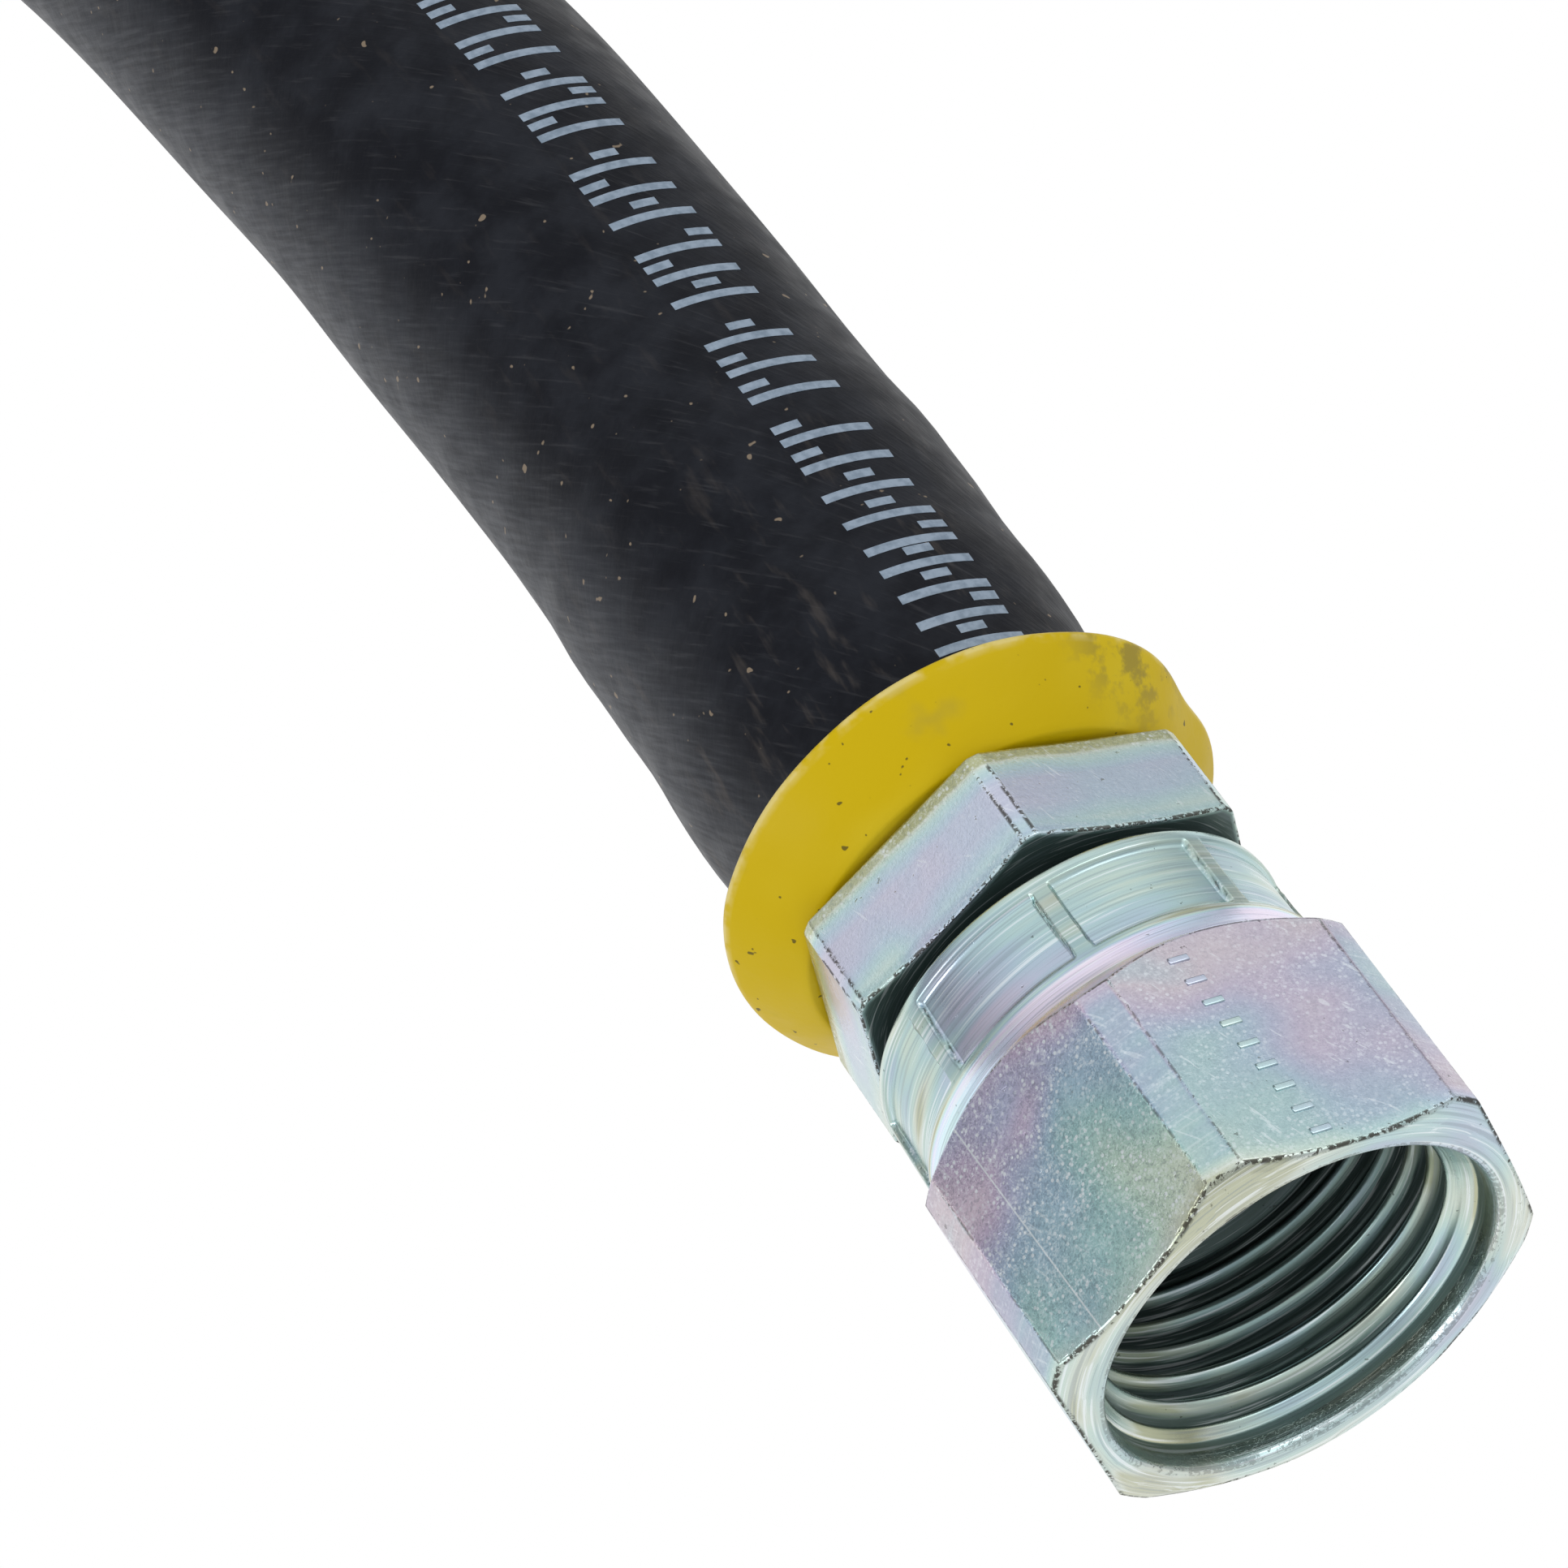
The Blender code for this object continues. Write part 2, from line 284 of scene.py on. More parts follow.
def merged_angles(*groups, closest=0.24):
    """One sorted list of angles over a full turn, with near duplicates dropped; earlier groups win."""
    kept = []
    for group in groups:
        for angle in group:
            angle = (angle + 180) % 360 - 180
            if all(abs((angle - other + 180) % 360 - 180) >= closest for other in kept):
                kept.append(angle)
    return sorted(kept)


def hexagon_angles(turn, half_strip, fillet):
    """Angles of a hexagon with turned corners: close together at the edges of each corner strip."""
    near_edge = [k * fillet for k in (-4, -2, -1, 0, 1, 2, 4)]
    half = [0.0, half_strip * 0.45] + [half_strip + k for k in near_edge if half_strip + k > 0.1]
    half += [half_strip + 3.5, half_strip + 6, 13, 17, 21, 25.5, 30]
    found = []
    for corner in range(6):
        for offset in half:
            found += [turn + 60 * corner + offset, turn + 60 * corner - offset]
    return found


def hexagon_radius(angles, turn, flat_r, corner_r, width):
    """Radius of the hexagon's outline at each angle, with its corners turned off."""
    from_middle = np.radians(folded(angles - turn - 30, 60))
    return softer_min(flat_r / np.cos(from_middle), corner_r * np.ones_like(angles), width)


# ---------------------------------------------------------------- materials


class Look:
    """One procedural material: a Principled shader and short calls that add nodes to it."""

    def __init__(self, name, roughness=0.5):
        self.material = bpy.data.materials.new(name)
        self.material.use_nodes = True
        self.tree = self.material.node_tree
        self.shader = self.tree.nodes["Principled BSDF"]
        self.set(Roughness=roughness)

    def set(self, **inputs):
        for key, value in inputs.items():
            self.feed(self.shader.inputs[key.replace("_", " ")], value)

    def feed(self, socket, value):
        if isinstance(value, bpy.types.NodeSocket):
            self.tree.links.new(value, socket)
        else:
            socket.default_value = value

    def node(self, kind, inputs=(), **settings):
        made = self.tree.nodes.new("ShaderNode" + kind)
        for key, value in settings.items():
            setattr(made, key, value)
        for key, value in dict(inputs).items():
            self.feed(made.inputs[key], value)
        return made

    def attribute(self, name):
        found = self.node("Attribute", attribute_name=name)
        return found.outputs["Vector" if name in ("lathe", "hose") else "Fac"]

    def place(self):
        return self.node("TexCoord").outputs["Object"]

    def math(self, operation, a, b=0.0, clamp=False):
        made = self.node("Math", operation=operation, use_clamp=clamp)
        self.feed(made.inputs[0], a)
        self.feed(made.inputs[1], b)
        return made.outputs[0]

    def times(self, a, b):
        return self.math("MULTIPLY", a, b)

    def scaled(self, vector, scale, offset=(0, 0, 0)):
        return self.node("Mapping", {"Vector": vector, "Scale": scale, "Location": offset}).outputs[0]

    def noise(self, vector, scale, detail=2.0, roughness=0.5, distortion=0.0):
        made = self.node("TexNoise", {
            "Vector": vector, "Scale": scale, "Detail": detail,
            "Roughness": roughness, "Distortion": distortion,
        })
        return made.outputs[0]

    def voronoi(self, vector, scale, randomness=1.0):
        made = self.node("TexVoronoi", {"Vector": vector, "Scale": scale, "Randomness": randomness})
        return made.outputs["Distance"]

    def band(self, value, low, high, start=0.0, end=1.0):
        """Smooth step of value from low to high, mapped to start and end."""
        made = self.node("MapRange", interpolation_type="SMOOTHSTEP", clamp=True)
        for key, number in zip((0, 1, 2, 3, 4), (value, low, high, start, end)):
            self.feed(made.inputs[key], number)
        return made.outputs[0]

    def ramp(self, value, stops):
        made = self.node("ValToRGB")
        elements = made.color_ramp.elements
        while len(elements) < len(stops):
            elements.new(1.0)
        for element, (position, colour) in zip(elements, stops):
            element.position = position
            element.color = (*colour, 1)
        self.feed(made.inputs[0], value)
        return made.outputs[0]

    def mix(self, factor, a, b, blend="MIX"):
        made = self.node("Mix", data_type="RGBA", blend_type=blend)
        self.feed(made.inputs[0], factor)
        for socket, value in ((made.inputs[6], a), (made.inputs[7], b)):
            self.feed(socket, value if isinstance(value, bpy.types.NodeSocket) else (*value, 1))
        return made.outputs[2]

    def bump(self, height, distance, strength=1.0, over=None):
        made = self.node("Bump", {"Height": height, "Strength": strength, "Distance": distance})
        if over is not None:
            self.feed(made.inputs["Normal"], over)
        return made.outputs[0]


FILM = [
    (0.00, (0.44, 0.45, 0.20)),
    (0.08, (0.66, 0.72, 0.57)),
    (0.20, (0.54, 0.72, 0.61)),
    (0.32, (0.41, 0.64, 0.63)),
    (0.44, (0.40, 0.55, 0.67)),
    (0.56, (0.48, 0.50, 0.67)),
    (0.68, (0.59, 0.49, 0.64)),
    (0.84, (0.70, 0.58, 0.64)),
    (1.00, (0.50, 0.63, 0.68)),
]
SCRATCH_ARC = 24.82            # millimetres round the nut, as its look counts them
PALE_STEEL = (0.66, 0.70, 0.74)
HOLLOW = (0.16, 0.20, 0.25)
SPECK_GLINT = (0.92, 0.97, 1.0)
SCRATCH = (0.90, 0.95, 0.97)
# painted shade colours for the recesses, the second for the deepest
RECESS_SHADE_GREEN = (0.068, 0.128, 0.112)
DEEP_SHADE_GREEN = (0.028, 0.048, 0.044)
BRIGHT_LINE = (0.88, 0.93, 0.96)
DULL_LINE = (0.25, 0.30, 0.34)
RUBBED_EDGE_HIGHLIGHT = (0.88, 0.92, 0.93)
PIT_BROWN = (0.050, 0.042, 0.032)
GRIME_PLACE = (0.0085, 0.0045, 0.0222)  # where the near ring is smudged, in metres


def zinc_look():
    """Zinc plating with a clear passivation: pale steel with drifting pastel film colours."""
    look = Look("zinc_plate")
    place, lathe = look.place(), look.attribute("lathe")
    turned, wear, recess = look.attribute("turned"), look.attribute("wear"), look.attribute("recess")
    raw = look.math("SUBTRACT", 1.0, turned)
    open_face = look.math("SUBTRACT", 1.0, look.times(recess, 0.6))
    grain = look.times(raw, look.attribute("grain"))

    # film colour drifts along and round the fitting, in streaks on the turned faces
    drift = look.noise(place, 95, 2.0, 0.5, 0.3)
    streak = look.noise(look.scaled(lathe, (1, 1, 0.06)), 950, 2, 0.5)
    streaked = look.times(look.math("SUBTRACT", streak, 0.5), turned)
    drifted = look.times(look.math("SUBTRACT", drift, 0.5), 1.3)
    wander = look.math("ADD", drifted, look.times(streaked, 0.8))
    film = look.ramp(look.math("ADD", look.attribute("film"), wander, clamp=True), FILM)

    # circumferential tool marks on turned faces: fine rings that hardly change with the angle
    rings = look.noise(look.scaled(lathe, (1, 1, 0.02)), 8000, 1, 0.5)
    wide_rings = look.noise(look.scaled(lathe, (1, 1, 0.03)), 2400, 2, 0.55)
    tool = look.math("ADD", look.times(rings, 0.55), look.times(wide_rings, 0.45))

    # drawn-bar skin on the flats: bright specks, painted glints on its grains, on a slightly darker ground
    grains = look.noise(place, 8200, 2.0, 0.55, 0.8)
    coarse = look.noise(place, 2900, 1.0, 0.5)
    bumps = look.math("ADD", look.times(grains, 0.7), look.times(coarse, 0.3))
    patches = look.band(look.noise(place, 330, 2), 0.30, 0.62, 0.35, 1.0)
    spots = look.times(look.band(look.voronoi(place, 2900), 0.33, 0.18), patches)
    flecks = look.times(look.times(look.band(bumps, 0.53, 0.59), patches), 0.55)
    glint_speckle = look.times(look.math("MAXIMUM", spots, flecks), grain)
    hollows = look.times(look.band(bumps, 0.47, 0.41), grain)

    paleness = look.times(look.math("SUBTRACT", 1.0, look.attribute("grain")), 0.50)
    ground = look.mix(paleness, film, PALE_STEEL)
    # painted light and shade: the plating is lightened or darkened by each row's tone
    ground = look.mix(1.0, ground, look.attribute("tone"), blend="MULTIPLY")
    ground = look.mix(look.times(hollows, 0.35), ground, HOLLOW)
    metal = look.mix(look.times(glint_speckle, 0.80), ground, SPECK_GLINT)
    slanted = look.node("VectorRotate", {"Vector": lathe, "Angle": 0.5}, rotation_type="Y_AXIS").outputs[0]
    scratches = look.band(look.noise(look.scaled(slanted, (0.16, 1, 1)), 2700, 2, 0.5), 0.66, 0.71)
    # one long straight scratch beside the corner
    parts = look.node("SeparateXYZ", {0: lathe}).outputs
    straight = look.math("SUBTRACT", parts[2], look.times(parts[0], 0.044))
    aside = look.math("ABSOLUTE", look.math("SUBTRACT", straight, SCRATCH_ARC * MM))
    in_line = look.band(aside, 0.00009, 0.00004)
    long_scratch = look.times(in_line, look.band(parts[0], 0.0130, 0.0126))
    scratches = look.math("MAXIMUM", look.times(scratches, 0.35), look.times(long_scratch, 0.75))
    metal = look.mix(look.times(scratches, raw), metal, SCRATCH)
    # painted shade in the recesses, tinted dark green like the passivation, nearly black in the deepest
    metal = look.mix(recess, metal, RECESS_SHADE_GREEN)
    metal = look.mix(look.band(recess, 0.82, 1.0), metal, DEEP_SHADE_GREEN)
    lines = look.times(turned, open_face)
    bright = look.times(look.band(tool, 0.53, 0.63), lines)
    metal = look.mix(look.times(bright, 0.62), metal, BRIGHT_LINE)
    dull = look.times(look.band(tool, 0.47, 0.37), lines)
    metal = look.mix(look.times(dull, 0.38), metal, DULL_LINE)

    # edges are lighter in places, partly rubbed metal and partly a painted highlight line, and pitted in
    # others
    in_places = look.band(look.noise(place, 500, 2), 0.4, 0.6)
    rubbed = look.times(look.band(wear, 0.45, 0.95), in_places)
    metal = look.mix(look.times(rubbed, 0.16), metal, RUBBED_EDGE_HIGHLIGHT)
    clusters = look.band(look.noise(place, 420, 2, 0.5), 0.36, 0.62, 0.57, 0.42)
    pits = look.band(look.math("SUBTRACT", look.noise(place, 4200, 3, 0.65), clusters), 0.0, 0.06)
    edge_pits = look.times(pits, look.band(wear, 0.3, 0.9))
    stray = look.band(look.noise(place, 1700, 3, 0.65), 0.69, 0.73)
    dark = look.math("MAXIMUM", edge_pits, look.times(stray, 0.55))
    metal = look.mix(look.times(dark, 0.88), metal, PIT_BROWN)
    look.set(Base_Color=metal, Metallic=look.band(recess, 0.2, 1.0, 1.0, 0.45))

    rough = look.band(look.noise(place, 420, 3), 0.3, 0.7, 0.22, 0.30)
    soft = look.math("ADD", look.times(dark, 0.3), look.times(recess, 0.14))
    look.set(Roughness=look.math("ADD", rough, soft))

    skin = look.bump(look.times(bumps, raw), 0.00003, 0.6)
    rolling = look.bump(look.times(look.noise(place, 900, 2), raw), 0.00003, 0.3, skin)
    tool_bump = look.bump(look.times(tool, turned), 0.00005, 0.45, rolling)
    look.set(Normal=look.bump(look.times(dark, -1.0), 0.00005, 0.6, tool_bump))
    return look.material


def yellow_look():
    """Soft yellow plastic with paler worn patches, dark smudges and a few specks."""
    look = Look("yellow_plastic")
    place = look.place()
    tone = look.noise(place, 110, 2)
    body = look.mix(look.band(tone, 0.45, 0.8), (0.53, 0.372, 0.0), (0.58, 0.435, 0.02))
    shifted = look.scaled(place, (1, 1, 1), (0.031, 0.004, 0.012))
    smudge = look.band(look.noise(shifted, 120, 4, 0.6), 0.58, 0.72)
    body = look.mix(look.times(smudge, 0.4), body, (0.25, 0.21, 0.05))
    away = look.node("VectorMath", {0: place, 1: GRIME_PLACE}, operation="DISTANCE").outputs["Value"]
    blotches = look.band(look.noise(place, 600, 4, 0.65), 0.46, 0.6)
    grime = look.times(look.band(away, 0.0055, 0.0015), blotches)
    body = look.mix(look.times(grime, 0.6), body, (0.16, 0.13, 0.045))
    specks = look.band(look.noise(place, 1900, 1), 0.74, 0.77)
    body = look.mix(look.times(specks, 0.8), body, (0.05, 0.04, 0.01))
    rubbed = look.times(look.attribute("wear"), look.band(look.noise(place, 700, 3), 0.4, 0.6))
    body = look.mix(look.times(rubbed, 0.55), body, (0.72, 0.62, 0.30))
    look.set(Base_Color=body, Specular_IOR_Level=0.12)
    look.set(Roughness=look.band(look.noise(place, 380, 3), 0.3, 0.7, 0.38, 0.5))
    grain = look.bump(look.noise(place, 2600, 2), 0.00003, 0.4)
    look.set(Normal=look.bump(look.noise(place, 170, 2), 0.0004, 0.35, grain))
    return look.material


def rubber_look():
    """Black rubber cover with the faint weave of the cloth that it was cured in, dust, and a painted sheen
    down its left side.
    """
    look = Look("hose_rubber")
    place, hose = look.place(), look.attribute("hose")
    # hose is (distance along, arc round, radius) in metres
    slanted = look.node("VectorRotate", {"Vector": hose, "Angle": 0.62}, rotation_type="Z_AXIS").outputs[0]
    fibres = look.noise(look.scaled(slanted, (0.09, 1, 0.2)), 3400, 3, 0.6)
    crossed = look.node("VectorRotate", {"Vector": hose, "Angle": -0.9}, rotation_type="Z_AXIS").outputs[0]
    threads = look.noise(look.scaled(crossed, (0.12, 1, 0.2)), 2600, 2, 0.6)
    mottling = look.noise(place, 260, 4, 0.62)
    body = look.mix(look.band(mottling, 0.35, 0.7), (0.0022, 0.0028, 0.0058), (0.011, 0.0125, 0.0175))
    body = look.mix(look.times(look.band(fibres, 0.55, 0.75), 0.30), body, (0.050, 0.050, 0.055))
    parts = look.node("SeparateXYZ", {0: hose}).outputs
    # painted sheen: a grey band down the hose's left side, broken up by the weave
    left = look.times(look.band(parts[1], -0.008, -0.0175), look.band(parts[1], -0.031, -0.026))
    painted_side_sheen = look.times(left, look.band(fibres, 0.30, 0.70, 0.45, 1.0))
    body = look.mix(look.times(painted_side_sheen, 0.75), body, (0.078, 0.082, 0.092))
    dusty = look.noise(look.scaled(hose, (0.25, 1, 1)), 900, 3, 0.65)
    near_end = look.band(parts[0], 0.0, 0.03, 0.8, 0.2)
    streaks = look.times(look.band(dusty, 0.56, 0.75), near_end)
    body = look.mix(look.times(streaks, 0.35), body, (0.12, 0.10, 0.085))
    specks = look.band(look.noise(place, 1500, 1), 0.745, 0.78)
    body = look.mix(look.times(specks, 0.6), body, (0.30, 0.23, 0.16))
    look.set(Base_Color=body, Specular_IOR_Level=0.10, Sheen_Weight=0.075, Sheen_Roughness=0.45)
    look.set(Roughness=look.band(look.noise(place, 500, 3), 0.3, 0.7, 0.44, 0.6))
    weave = look.bump(fibres, 0.00004, 0.5, look.bump(threads, 0.00003, 0.4))
    lumps = look.bump(look.noise(place, 1100, 3, 0.6), 0.00005, 0.5, weave)
    look.set(Normal=look.bump(look.noise(place, 190, 2), 0.0004, 0.35, lumps))
    return look.material


def ink_look():
    """Pale grey-blue printing ink, thin and slightly broken."""
    look = Look("printing_ink")
    place = look.place()
    thin = look.band(look.noise(place, 1800, 3, 0.6), 0.35, 0.7)
    look.set(Base_Color=look.mix(thin, (0.24, 0.30, 0.375), (0.15, 0.20, 0.26)))
    look.set(Normal=look.bump(look.noise(place, 900, 3, 0.6), 0.00005, 0.5))
    return look.material


def tube_look():
    """Smooth extruded rubber of the inner tube."""
    look = Look("tube_rubber", roughness=0.6)
    place = look.place()
    look.set(Base_Color=look.mix(look.noise(place, 200, 3), (0.009, 0.009, 0.010), (0.022, 0.022, 0.023)))
    look.set(Normal=look.bump(look.noise(place, 1200, 2), 0.00004, 0.4))
    return look.material


def braid_look():
    """Undyed yarn braided over the inner tube."""
    look = Look("textile_braid", roughness=0.85)
    place = look.place()
    made = look.node(
        "TexWave", {"Vector": place, "Scale": 260.0, "Distortion": 1.0}, bands_direction="DIAGONAL"
    )
    weave = made.outputs["Fac"]
    body = look.mix(weave, (0.36, 0.33, 0.27), (0.62, 0.59, 0.51))
    look.set(Base_Color=body, Normal=look.bump(weave, 0.0002, 0.8))
    return look.material


# ---------------------------------------------------------------- the swivel nut


def pad_depth(s, angles, rib_turn):
    """How far the crimping jaws pressed the collar in: crisp beside the ribs, soft fore and aft."""
    pitch = 360 / RIB_COUNT
    aside = folded(angles - rib_turn, pitch)
    from_rib = np.abs(aside) * math.radians(1) * 10.3
    ragged = 0.05 * np.sin(s * 5.1 + 2.0 * np.sign(aside)) + 0.03 * np.sin(s * 11.3)
    beside = smooth(from_rib + ragged, 0.40, 0.56)
    fore_and_aft = smooth(s, 15.0, 15.35) * (1 - smooth(s, 19.15, 19.45))
    return PAD_DEPTH * beside * fore_and_aft


def thread_radius(s, angles):
    """Wall of the bore in the threaded stretch: a right-handed thread with well rounded crests."""
    turns = (s - 2.8) / THREAD_PITCH - (angles - 150) / 360
    root = 0.5 - 0.5 * np.cos(math.tau * turns)          # 0 on a crest, 1 in a root
    return THREAD_MINOR_R + (THREAD_MAJOR_R - THREAD_MINOR_R) * root


def nut(side, place, look):
    nut_turn, _, rib_turn = TURNS[side]
    beside = (1.6, 2.0, 2.3, 2.6, 2.9, 3.2, 3.6)
    offsets = [-e for e in reversed(beside)] + [0, *beside]
    rib_edges = [rib_turn + 360 / RIB_COUNT * k + e for k in range(RIB_COUNT) for e in offsets]
    angles = np.array(merged_angles(hexagon_angles(nut_turn, NUT_STRIP, 0.3), rib_edges))
    hexagon = hexagon_radius(angles, nut_turn, NUT_FLAT_R, NUT_CORNER_R, 0.012)
    from_corner = np.abs(folded(angles - nut_turn, 60))
    strip = 0.25 - 0.25 * smooth(from_corner, 3.7, 4.3)
    # the flat to the left of the corner is grainier and bluer, the one to its right smoother and pinker
    left = 1 - smooth(np.abs(folded(angles - nut_turn + 30, 360)), 26, 27)
    right = 1 - smooth(np.abs(folded(angles - nut_turn - 30, 360)), 26, 27)
    on_strip = smooth(-from_corner, -4.3, -3.7)
    hue = 0.38 - 0.03 * left + 0.16 * on_strip
    rearward = 0.12 + 0.19 * left + 0.34 * right
    grain = 0.25 + 0.75 * left + 0.20 * right + 0.25 * on_strip
    # painted shade: the flat to the right of the corner and the turned strip are coloured darker
    tone = 1 - 0.13 * right - 0.14 * on_strip
    strip_wear = 0.7 * hump(from_corner, NUT_STRIP, 0.6)
    body = Lathe(angles)

    # front: rounded lip, flat ring, and the chamfer that cuts the flats in arcs
    # painted shade on the lip and the front ring dims their highlight
    body.rows((0.98, MOUTH_R), (0.70, MOUTH_R + 0.02), (0.36, MOUTH_R + 0.06),
              film=0.14, recess=0.30, wear=0.45, tone=FRONT_PAINTED_SHADE)
    body.rows((0.10, MOUTH_R + 0.14), (0.0, MOUTH_R + 0.28), (0.0, 10.25),
              film=0.18, wear=0.55, grain=0.1, tone=FRONT_PAINTED_SHADE)
    body.rows((0.0, 10.4), (0.0, 10.6), film=0.2, grain=0.1, tone=FRONT_PAINTED_SHADE)
    front_slope = 0.65 / (NUT_CORNER_R - NUT_FLAT_R)
    edge = (hexagon - NUT_FLAT_R) * front_slope
    # painted shade on the chamfer's rounded edge dims its highlight
    for inward, wear in ((0.8, 0.0), (0.5, 0.0), (0.28, 0.0), (0.16, 0.6), (0.05, 1.0)):
        r = np.maximum(hexagon - inward, 10.62 + 0.3 * (0.8 - inward))
        body.row(np.maximum(r - NUT_FLAT_R, 0) * front_slope, r,
                 wear=wear, recess=0.3 * wear, film=0.18, grain=0.2)
    body.row(edge + 0.03, hexagon - 0.004, 0.5, 1.0, 0.35, film=0.25)
    body.row(edge + 0.12, hexagon, strip, np.maximum(0.7, strip_wear), film=0.28)
    body.row(edge + 0.26, hexagon, strip, strip_wear, film=0.30)
    for share in (0.06, 0.3, 0.6, 0.9):
        body.row(edge + 0.3 + share * (11.5 - edge), hexagon, strip, strip_wear,
                 film=hue + rearward * share, grain=grain, tone=tone)

    # rear: the 45 degree cut that ends the flats, then the turned band, painted lighter as a highlight
    rear = NUT_HEX_END + (NUT_CORNER_R - hexagon) * 0.92
    body.row(rear - 0.14, hexagon, strip, strip_wear, film=hue + rearward, grain=grain, tone=tone)
    body.row(rear - 0.04, hexagon - 0.005, 0.5, 0.8, film=0.6)
    body.row(rear + 0.03, hexagon - 0.06, wear=0.6, film=0.7)
    for share in (0.15, 0.5, 0.85, 1.0):
        r = hexagon - 0.06 + share * (10.93 - hexagon + 0.06)
        body.row(rear + 0.03 + (hexagon - 0.06 - r) * 0.92, r, film=0.60, tone=BAND_PAINTED_HIGHLIGHT)
    body.rows((13.45, 10.90), (13.9, 10.76), (14.5, 10.62), film=0.52, tone=BAND_PAINTED_HIGHLIGHT)
    body.row(14.8, 10.57, film=0.04)

    # collar with its pressed pads and rear rim
    stations = (14.95, 15.02, 15.08, 15.14, 15.2, 15.3, 15.5, 15.7, 16.4, 17.2, 18.0, 18.75, 18.95, 19.1,
                19.2, 19.26, 19.32, 19.38, 19.45)
    for s in stations:
        # painted shade over the collar, heavier along the pads' edges and lighter on the pads
        depth = pad_depth(s, angles, rib_turn)
        side_line = hump(depth, PAD_DEPTH / 2, 0.09) * smooth(s, 15.3, 15.5)
        side_line = side_line * (1 - smooth(s, 18.9, 19.1))
        r = 10.55 - depth - 0.03 * (s - 15)
        body.row(s, r, 1.0, side_line * 0.8, 0.22 + side_line * 0.7 - 0.2 * smooth(depth, 0.1, 0.2),
                 0.22 + 0.12 * smooth(depth, 0.05, 0.2))
    body.rows((19.7, 10.40), (19.93, 10.36), (20.03, 10.31), (20.08, 10.22), (NUT_LENGTH, 10.1), film=0.15)
    # painted deep shade on the rear face and in the bore behind the thread
    body.rows((NUT_LENGTH, 9.9), (NUT_LENGTH, 7.6), (NUT_LENGTH - 0.1, COLLAR_BORE_R),
              (15.9, COLLAR_BORE_R), recess=0.85)
    body.rows((15.6, 7.45), (13.95, 9.2), (13.85, RELIEF_R), (12.0, RELIEF_R),
              (THREAD_END + 0.15, RELIEF_R), recess=0.98)

    # bore: the thread runs forward to the countersunk mouth
    s = THREAD_END
    step = THREAD_PITCH / 16
    while s > 1.62:
        wall = thread_radius(s, angles)
        wall = wall + (RELIEF_R - wall) * smooth(s, THREAD_END - 0.6, THREAD_END)
        countersink = COUNTERSINK_R - (s - COUNTERSINK_START)
        wall = countersink + (wall - countersink) * smooth(s, 1.97, 2.15)
        on_thread = smooth(wall - countersink, -0.02, 0.1)
        # painted shade in the thread: darker towards the roots and deeper into the bore
        flank_shade = 0.16 * smooth(wall, 8.72, 8.92) + 0.54 * smooth(wall, 8.92, 9.30)
        deep_shade = 0.34 * smooth(s, 3.4, 7.0)
        dark = np.minimum(0.04 + (0.18 + flank_shade) * on_thread + deep_shade, 0.98)
        body.row(s, np.maximum(wall, countersink), recess=dark, film=0.20)
        s -= step
    body.rows((COUNTERSINK_START, COUNTERSINK_R), (1.54, 9.77), film=0.12)
    # painted shade on the counterbore wall inside the lip
    body.rows((1.50, 9.80), (1.46, 9.82), (1.3, 9.83), (1.06, 9.84), recess=0.82, film=0.2)
    return body.build(side + "_nut_detail", place, look)


# ---------------------------------------------------------------- the stem


